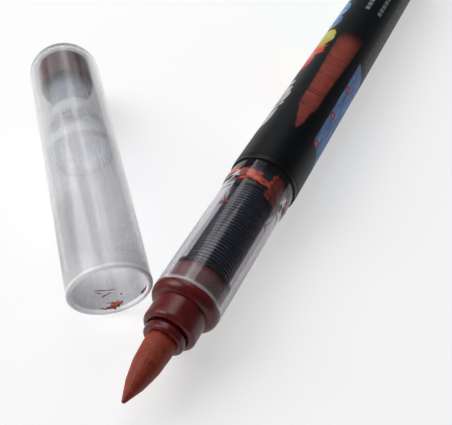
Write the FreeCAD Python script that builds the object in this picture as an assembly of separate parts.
"""Free-ink brush pen lying on a flat surface, with its cap pulled off and lying beside it.

Millimetres, +Z up. The pen's axis runs along +Y with the nib towards -Y, and the surface is Z = 0.
Every turned piece is drawn as an outline of (axial, radius) corners and revolved. Pen pieces measure
axial from the barrel's front rim, cap pieces measure it from the rim of the cap's mouth. At the end
all pieces are shifted together, so that the origin is the middle of the whole footprint.
"""
import FreeCAD, Part
import math
import os

# ---- driving dimensions ------------------------------------------------------------------------
PEN_R = 6.0               # barrel with its printed film
FILM_T = 0.05             # printed film on the barrel
BARREL_LEN = 91.5
BARREL_BORE_R = 5.05
FIT_GAP = 0.03            # radial room between pieces that are pushed together
LIP_LEN = 1.1             # bare barrel in front of the film
FILM_REAR_GAP = 0.8       # bare barrel behind the film
TAIL_LEN = 3.5            # head of the tail plug behind the barrel
TAIL_FLOOR = 1.2          # depth of the plug's hollow into its head
TAIL_EDGE_R = 2.2
TAIL_SPIGOT_LEN = 8.5
TAIL_SPIGOT_GAP = 0.12    # radial room round the plug's spigot, which its ribs fill
TAIL_BORE_R = 3.9
TAIL_RIBS = (6.6, 4.6, 2.6)       # ribs of the spigot, in front of the head

SECTION_LEN = 27.5        # clear section in front of the barrel
SECTION_FRONT_R = 5.35
SECTION_REAR_R = 5.43
SECTION_BORE_R = 4.60
STEP_R = 5.66             # collar of the section that meets the barrel
STEP_LEN = 4.1
SPIGOT_LEN = 9.0          # part of the section inside the barrel

FLANGE_R = 5.30           # nib holder
FLANGE_LEN = 1.8
FLANGE_ROUND = 1.5
COLLAR_R = 4.08
COLLAR_LEN = 5.7          # from the section's front rim to the collar's front face
HOLDER_SPIGOT_R = 4.45
HOLDER_SPIGOT_LEN = 4.3
RECESS_R = 3.25
RECESS_LEN = 1.0

SLEEVE_R = 3.12           # ring that grips the nib
SLEEVE_OUT = 1.55         # how far the ring stands in front of the collar
SLEEVE_NECK_R = 2.72
SLEEVE_NECK_LEN = 3.0     # neck inside the collar, from its front face
NIB_R = 2.25
NIB_LEN = 10.25           # brush in front of the ring
NIB_STRAIGHT = 1.3        # cylinder between the ring and the pointed part
NIB_TIP_R = 0.32
STEM_R = 1.6

FIN_R = 3.88              # comb feed
FIN_PITCH = 0.62
FIN_T = 0.33
FEED_HUB_R = 2.6
FEED_REAR_R = 4.2
FEED_TAIL_R = 2.45
FEED_TAIL_END = 14.0
FEED_BORE_R = 1.25
SLIT_W = 0.35             # capillary slit along the comb
FEED_NECK_R = 3.4         # between the plain rear body and the tail tube
FEED_BODY_END = -0.9
FEED_NECK_END = 1.5
SEAL_T = 0.6              # seal ring in front of the comb
SEAL_BORE_R = 2.0
WICK_R = 1.2
WICK_END = 17.0

BUNG_LEN = 4.0            # wall between the section and the ink
INK_LEN = 62.0
INK_LEVEL = 1.2           # the ink's surface above the pen's axis

CAP_LEN = 52.0
CAP_MOUTH_R = 6.20
CAP_END_R = 6.12          # where the rounded end starts
CAP_CORNER_R = 4.0        # the closed end's corner, and the flatter crown that it runs into
CAP_CROWN_R = 8.0
CAP_WALL = 0.90
CAP_BORE_R = 5.50
CAP_STEP_AT = 27.0        # the bore narrows here and the seal cup rests on it
CAP_INNER_R = 5.22
CAP_AXIS_TURN = 41.6      # degrees from +Y towards -X, to the cap's closed end
CAP_MOUTH_XY = (-10.04, -31.68)   # middle of the mouth, from the pen's axis and the barrel's rim

SEAL_CUP_BORE_R = 4.16
SEAL_CUP_R = 4.75
SEAL_CUP_LIP_LEN = 2.2    # lip that sits in the shell
SEAL_BEAD_AT = 32.1       # bead round the outside of the cup
SEAL_BEAD_R = 4.95
SEAL_NARROW_AT = 31.5     # the bore narrows from here to the well
SEAL_SHOULDER_AT = 34.4
SEAL_SHOULDER_R = 4.6
SEAL_NECK_R = 4.2
WELL_R = 3.2              # narrow cup round the brush's tip
WELL_BORE_R = 2.6
WELL_AT = 37.8
PLUG_AT = 43.2            # front rim of the coloured plug
PLUG_R = 4.5
PLUG_WALL = 0.45
PLUG_FLOOR = 46.4
PLUG_CORNER_R = 2.4
PLUG_CROWN_R = 6.5
PLUG_END = 50.7
RIB_COUNT = 4             # ribs of the shell that hold the coloured plug
RIB_W = 0.7

FRONT = -SECTION_LEN                       # section's front rim
COLLAR_FRONT = FRONT - COLLAR_LEN
SLEEVE_FRONT = COLLAR_FRONT - SLEEVE_OUT
FEED_FRONT = FRONT + HOLDER_SPIGOT_LEN + SEAL_T
WICK_START = FRONT + 3.4                   # where the brush's stem meets the wick


# ---- outlines and turned solids ----------------------------------------------------------------
def vec(axial, radius):
    """A point of an outline: radius along X, axial along Y."""
    return FreeCAD.Vector(radius, axial, 0)


def rounded_corner(before, corner, after, radius):
    """Start, middle and end of the arc that rounds one corner of an outline."""
    a = (before - corner).normalize()
    b = (after - corner).normalize()
    half = a.getAngle(b) / 2
    reach = radius / math.tan(half)
    centre = corner + (a + b).normalize() * (radius / math.sin(half))
    middle = centre + (corner - centre).normalize() * radius
    return corner + a * reach, middle, corner + b * reach


def outline(steps):
    """Closed wire from corners (axial, radius[, rounding]) and arc middles ("via", axial, radius)."""
    corners = []
    for step in steps:
        if step[0] == "via":
            corners[-1]["via"] = vec(step[1], step[2])
        else:
            corners.append({"at": vec(step[0], step[1]), "round": step[2] if len(step) > 2 else 0})
    edges = []
    for i, corner in enumerate(corners):
        corner["enter"] = corner["leave"] = corner["at"]
        if corner["round"]:
            before, after = corners[i - 1]["at"], corners[(i + 1) % len(corners)]["at"]
            corner["enter"], middle, corner["leave"] = rounded_corner(before, corner["at"], after,
                                                                      corner["round"])
            edges.append(Part.Arc(corner["enter"], middle, corner["leave"]).toShape())
    for i, corner in enumerate(corners):
        start, end = corner["leave"], corners[(i + 1) % len(corners)]["enter"]
        if "via" in corner:
            edges.append(Part.Arc(start, corner["via"], end).toShape())
        elif start.distanceToPoint(end) > 1e-7:
            edges.append(Part.LineSegment(start, end).toShape())
    return Part.Wire(Part.__sortEdges__(edges))


def turned(steps):
    """Solid of revolution about the Y axis."""
    solid = Part.Face(outline(steps)).revolve(FreeCAD.Vector(0, 0, 0), FreeCAD.Vector(0, 1, 0), 360)
    return solid


def tube(start, end, outer, inner):
    return turned([(start, inner), (start, outer), (end, outer), (end, inner)])


def on_arc(centre_axial, centre_radius, radius, angle):
    """Point of a circle in the outline's plane; angle 0 points outwards, 90 degrees along +axial."""
    return (centre_axial + radius * math.sin(angle), centre_radius + radius * math.cos(angle))


def dome(start, wall_r, crown_r, end):
    """Outline steps of a pointed end: a long side arc tangent to the wall, then a small crown."""
    depth = end - start
    side_r = (depth ** 2 + wall_r ** 2 - 2 * crown_r * depth) / (2 * (wall_r - crown_r))
    side_centre, crown_at = wall_r - side_r, end - crown_r
    meet = math.atan2(crown_at - start, -side_centre)
    side_mid = on_arc(start, side_centre, side_r, meet / 2)
    joint = on_arc(start, side_centre, side_r, meet)
    crown_mid = on_arc(crown_at, 0, crown_r, (meet + math.pi / 2) / 2)
    return [(start, wall_r), ("via", *side_mid), joint, ("via", *crown_mid), (end, 0)]


def rounded_end(wall_r, corner_r, crown_r, end):
    """Outline steps of a blunter closed end: a rounded corner that runs into a flatter crown."""
    corner_radius = wall_r - corner_r
    lead = math.sqrt((crown_r - corner_r) ** 2 - corner_radius ** 2)
    crown_at = end - crown_r
    start = crown_at + lead
    meet = math.atan2(lead, corner_radius)
    corner_mid = on_arc(start, corner_radius, corner_r, meet / 2)
    joint = on_arc(start, corner_radius, corner_r, meet)
    crown_mid = on_arc(crown_at, 0, crown_r, (meet + math.pi / 2) / 2)
    return [(start, wall_r), ("via", *corner_mid), joint, ("via", *crown_mid), (end, 0)]


def walked_back(steps):
    """The same closed end walked from the axis to the wall."""
    start, side_via, joint, crown_via, end = steps
    return [end, crown_via, joint, side_via, start]


def facing_back(steps):
    """The same dome with its closed end towards -axial."""
    return [("via", -s[1], s[2]) if s[0] == "via" else (-s[0], s[1]) for s in steps]


# ---- pen ---------------------------------------------------------------------------------------
def barrel():
    r = PEN_R - FILM_T
    return turned([(0, BARREL_BORE_R), (0, r, 0.25), (LIP_LEN + 1, r), (BARREL_LEN, r, 0.15),
                   (BARREL_LEN, BARREL_BORE_R)])


def print_film():
    """Printed film shrunk on the barrel, a little short of both ends."""
    return tube(LIP_LEN, BARREL_LEN - FILM_REAR_GAP, PEN_R, PEN_R - FILM_T)


def tail_plug():
    """Closes the ink tube: a rounded head flush with the film, and a hollow ribbed spigot."""
    head, end = BARREL_LEN, BARREL_LEN + TAIL_LEN
    spigot_r = BARREL_BORE_R - TAIL_SPIGOT_GAP
    start, floor = head - TAIL_SPIGOT_LEN, head + TAIL_FLOOR
    plug = turned([(start, TAIL_BORE_R), (start, spigot_r, 0.3), (head, spigot_r), (head, PEN_R - 0.1),
                   (head + 0.35, PEN_R), (end, PEN_R, TAIL_EDGE_R), (end, 0), (floor, 0),
                   (floor, TAIL_BORE_R)])
    for rib in TAIL_RIBS:
        at = head - rib
        bead = turned([(at - 0.3, spigot_r - 0.2), (at - 0.3, spigot_r), (at, BARREL_BORE_R - FIT_GAP),
                       (at + 0.3, spigot_r), (at + 0.3, spigot_r - 0.2)])
        plug = plug.fuse(bead)
    return plug


def clear_section():
    """Clear tube round the comb feed, with a collar against the barrel and a spigot inside it."""
    spigot_r = BARREL_BORE_R - FIT_GAP
    return turned([(FRONT, SECTION_BORE_R, 0.12), (FRONT, SECTION_FRONT_R, 0.18),
                   (-STEP_LEN - 0.7, SECTION_REAR_R), (-STEP_LEN, STEP_R, 0.25), (0, STEP_R),
                   (0, spigot_r), (SPIGOT_LEN, spigot_r, 0.4), (SPIGOT_LEN, SECTION_BORE_R)])


def nib_holder():
    """Coloured holder: spigot with a snap bead in the section, round flange, collar with a recess."""
    flange_front = FRONT - FLANGE_LEN
    spigot_end = FRONT + HOLDER_SPIGOT_LEN
    bead = FRONT + 1.1
    bead_r = SECTION_BORE_R - FIT_GAP
    round_at = flange_front + FLANGE_ROUND
    round_low = FLANGE_R - FLANGE_ROUND
    meet = math.acos((COLLAR_R - round_low) / FLANGE_ROUND)
    flange_mid = on_arc(round_at, round_low, FLANGE_ROUND, -meet / 2)
    flange_end = on_arc(round_at, round_low, FLANGE_ROUND, -meet)
    neck_end = COLLAR_FRONT + SLEEVE_NECK_LEN
    return turned([(spigot_end, STEM_R + FIT_GAP), (spigot_end, HOLDER_SPIGOT_R, 0.25),
                   (bead + 0.35, HOLDER_SPIGOT_R), (bead + 0.15, bead_r), (bead - 0.15, bead_r),
                   (bead - 0.35, HOLDER_SPIGOT_R), (FRONT, HOLDER_SPIGOT_R), (FRONT, FLANGE_R, 0.1),
                   (round_at, FLANGE_R), ("via", *flange_mid), flange_end,
                   (COLLAR_FRONT, COLLAR_R, 0.7), (COLLAR_FRONT, RECESS_R),
                   (COLLAR_FRONT + RECESS_LEN, RECESS_R), (COLLAR_FRONT + RECESS_LEN, SLEEVE_NECK_R),
                   (neck_end, SLEEVE_NECK_R), (neck_end, STEM_R + FIT_GAP)])


def nib_sleeve():
    """Ring with a neck in the holder; it grips the brush and leaves a groove behind the ring."""
    ring_back = COLLAR_FRONT - 0.35
    neck_end = COLLAR_FRONT + SLEEVE_NECK_LEN
    neck_r = SLEEVE_NECK_R - FIT_GAP
    return turned([(SLEEVE_FRONT, NIB_R + FIT_GAP), (SLEEVE_FRONT, SLEEVE_R, 0.45),
                   (ring_back, SLEEVE_R, 0.15), (ring_back + 0.3, neck_r), (neck_end, neck_r),
                   (neck_end, NIB_R + FIT_GAP)])


def brush_nib():
    """Flexible pointed brush, turned from the sleeve's ring to the tip, on a thin stem."""
    belly = SLEEVE_FRONT - NIB_STRAIGHT
    base_end = COLLAR_FRONT + SLEEVE_NECK_LEN
    point = facing_back(dome(-belly, NIB_R, NIB_TIP_R, NIB_LEN - SLEEVE_FRONT))
    return turned([(WICK_START, 0), (WICK_START, STEM_R), (base_end, STEM_R), (base_end, NIB_R)] + point)


def front_seal_ring():
    """Black ring between the holder's spigot and the comb, tight in the section's bore."""
    start = FRONT + HOLDER_SPIGOT_LEN
    r = SECTION_BORE_R - FIT_GAP
    return turned([(start, SEAL_BORE_R), (start, r, 0.12), (start + SEAL_T, r, 0.12),
                   (start + SEAL_T, SEAL_BORE_R)])


def feed_collector():
    """Comb feed: fins on a hub, a plain rear body, and a tail tube through the bung."""
    fins_end = -STEP_LEN - 0.5
    hub = turned([(FEED_FRONT, FEED_BORE_R), (FEED_FRONT, FEED_HUB_R), (fins_end, FEED_HUB_R),
                  (fins_end, FEED_REAR_R, 0.15), (FEED_BODY_END, FEED_REAR_R, 0.15),
                  (FEED_BODY_END, FEED_NECK_R), (FEED_NECK_END, FEED_NECK_R), (FEED_NECK_END, FEED_TAIL_R),
                  (FEED_TAIL_END, FEED_TAIL_R, 0.3), (FEED_TAIL_END, FEED_BORE_R)])
    count = int((fins_end - FEED_FRONT) / FIN_PITCH)
    first = fins_end - count * FIN_PITCH
    fins = [tube(first + i * FIN_PITCH, first + i * FIN_PITCH + FIN_T, FIN_R, FEED_HUB_R - 0.1)
            for i in range(count)]
    feed = hub.multiFuse(fins)
    slit = Part.makeBox(SLIT_W, fins_end - FEED_FRONT + 1, FIN_R,
                        FreeCAD.Vector(-SLIT_W / 2, FEED_FRONT - 1, -FIN_R - 1.5))
    return feed.cut(slit).removeSplitter()


def feed_core():
    """Fibre wick through the comb, from the brush's stem to the ink."""
    return turned([(WICK_START, 0), (WICK_START, WICK_R), (WICK_END, WICK_R, 0.3), (WICK_END, 0)])


def reservoir_bung():
    """Wall between the section and the ink, with a collar that holds the comb's tail tube."""
    r = BARREL_BORE_R - FIT_GAP
    start = SPIGOT_LEN
    hole = FEED_TAIL_R + FIT_GAP
    return turned([(start, hole), (start, r, 0.2), (start + BUNG_LEN, r, 0.2), (start + BUNG_LEN, hole)])


def ink_charge():
    """Ink lying in the barrel's tube up to its level, round the comb's tail and the wick."""
    start = SPIGOT_LEN + BUNG_LEN
    r = BARREL_BORE_R - FIT_GAP
    ink = tube(start, FEED_TAIL_END, r, FEED_TAIL_R + FIT_GAP)
    ink = ink.fuse(tube(FEED_TAIL_END, WICK_END, r, WICK_R + FIT_GAP))
    ink = ink.fuse(turned([(WICK_END, 0), (WICK_END, r), (start + INK_LEN, r), (start + INK_LEN, 0)]))
    air = Part.makeBox(4 * r, INK_LEN + 2, 2 * r, FreeCAD.Vector(-2 * r, start - 1, INK_LEVEL))
    return ink.cut(air).removeSplitter()


# ---- cap ---------------------------------------------------------------------------------------
def cap_shell():
    """Clear cap with a rounded closed end, a stepped bore, and ribs that hold the coloured plug."""
    inner_end = CAP_LEN - CAP_WALL
    shell = turned([(0, CAP_BORE_R, 0.15), (0, CAP_MOUTH_R, 0.3)]
                   + rounded_end(CAP_END_R, CAP_CORNER_R, CAP_CROWN_R, CAP_LEN)
                   + walked_back(rounded_end(CAP_INNER_R, CAP_CORNER_R - CAP_WALL,
                                             CAP_CROWN_R - CAP_WALL, inner_end))
                   + [(CAP_STEP_AT, CAP_INNER_R), (CAP_STEP_AT, CAP_BORE_R)])
    rib_len = PLUG_FLOOR - PLUG_AT
    for i in range(RIB_COUNT):
        rib = Part.makeBox(RIB_W, rib_len, CAP_INNER_R - PLUG_R + 0.2,
                           FreeCAD.Vector(-RIB_W / 2, PLUG_AT + 0.4, PLUG_R + 0.02))
        rib.rotate(FreeCAD.Vector(0, 0, 0), FreeCAD.Vector(0, 1, 0), 45 + i * 360 / RIB_COUNT)
        shell = shell.fuse(rib)
    return shell.removeSplitter()


def cap_seal_cup():
    """Clear cup that seals on the nib holder's collar, with two beads and a shoulder to the well."""
    lip_r, lip_end = CAP_INNER_R - 0.02, CAP_STEP_AT + SEAL_CUP_LIP_LEN
    neck_end = WELL_AT - 1.4
    return turned([(CAP_STEP_AT, SEAL_CUP_BORE_R + 0.5), (CAP_STEP_AT, lip_r, 0.1), (lip_end, lip_r, 0.1),
                   (lip_end, SEAL_CUP_R), (SEAL_BEAD_AT - 0.4, SEAL_CUP_R - 0.03),
                   (SEAL_BEAD_AT - 0.2, SEAL_BEAD_R), (SEAL_BEAD_AT + 0.2, SEAL_BEAD_R),
                   (SEAL_BEAD_AT + 0.4, SEAL_SHOULDER_R + 0.08), (SEAL_SHOULDER_AT, SEAL_SHOULDER_R, 0.3),
                   (SEAL_SHOULDER_AT + 0.5, SEAL_NECK_R, 0.3), (neck_end, SEAL_NECK_R - 0.2, 0.8),
                   (WELL_AT, WELL_R), (WELL_AT, WELL_BORE_R), (neck_end - 0.2, WELL_BORE_R, 0.6),
                   (SEAL_SHOULDER_AT - 0.8, SEAL_CUP_BORE_R - 0.4, 0.6), (SEAL_NARROW_AT, SEAL_CUP_BORE_R),
                   (CAP_STEP_AT + 0.8, SEAL_CUP_BORE_R)])


def cap_tip_well():
    """Grey closed tube round the brush's tip, standing on the coloured plug's floor."""
    end = PLUG_FLOOR
    return turned([(WELL_AT, WELL_BORE_R), (WELL_AT, WELL_R), (end, WELL_R, 0.25), (end, 0),
                   (end - 1.0, 0), (end - 1.0, WELL_BORE_R, 0.5)])


def cap_color_plug():
    """Coloured plug that shows the ink's colour: an open skirt and a solid domed end."""
    skirt_in = PLUG_R - PLUG_WALL
    return turned([(PLUG_AT, skirt_in), (PLUG_AT, PLUG_R, 0.12)]
                  + rounded_end(PLUG_R, PLUG_CORNER_R, PLUG_CROWN_R, PLUG_END)
                  + [(PLUG_FLOOR, 0), (PLUG_FLOOR, skirt_in, 0.3)])


# ---- assembly ----------------------------------------------------------------------------------
PEN_PIECES = [barrel, print_film, tail_plug, clear_section, nib_holder, nib_sleeve, brush_nib,
              front_seal_ring, feed_collector, feed_core, reservoir_bung, ink_charge]
CAP_PIECES = [cap_shell, cap_seal_cup, cap_tip_well, cap_color_plug]


def lay_down():
    """All pieces where they lie on the surface, as name to shape."""
    placed = {}
    for make in PEN_PIECES:
        shape = make()
        shape.translate(FreeCAD.Vector(0, 0, PEN_R))
        placed[make.__name__] = shape
    for make in CAP_PIECES:
        shape = make()
        shape.rotate(FreeCAD.Vector(0, 0, 0), FreeCAD.Vector(0, 0, 1), CAP_AXIS_TURN)
        shape.translate(FreeCAD.Vector(*CAP_MOUTH_XY, CAP_MOUTH_R))
        placed[make.__name__] = shape
    return placed


def footprint_middle(placed):
    """X and Y of the middle of the box round all pieces."""
    boxes = [shape.optimalBoundingBox(False) for shape in placed.values()]
    x = (min(b.XMin for b in boxes) + max(b.XMax for b in boxes)) / 2
    y = (min(b.YMin for b in boxes) + max(b.YMax for b in boxes)) / 2
    return x, y


def main():
    os.makedirs("parts", exist_ok=True)
    placed = lay_down()
    x, y = footprint_middle(placed)
    for name, shape in placed.items():
        shape.translate(FreeCAD.Vector(-x, -y, 0))
        if not shape.isValid() or len(shape.Solids) != 1:
            raise ValueError(f"{name}: {len(shape.Solids)} solids, valid {shape.isValid()}")
        shape.exportStep(f"parts/{name}.step")
    turn = math.radians(CAP_AXIS_TURN)
    tail = BARREL_LEN + TAIL_LEN - y
    print(f"pen axis at x {-x:.3f}, barrel front rim at y {-y:.3f}, tail at y {tail:.3f}")
    print(f"cap mouth at {CAP_MOUTH_XY[0] - x:.3f}, {CAP_MOUTH_XY[1] - y:.3f}, {CAP_MOUTH_R}")
    print(f"cap axis {-math.sin(turn):.5f}, {math.cos(turn):.5f}")


main()
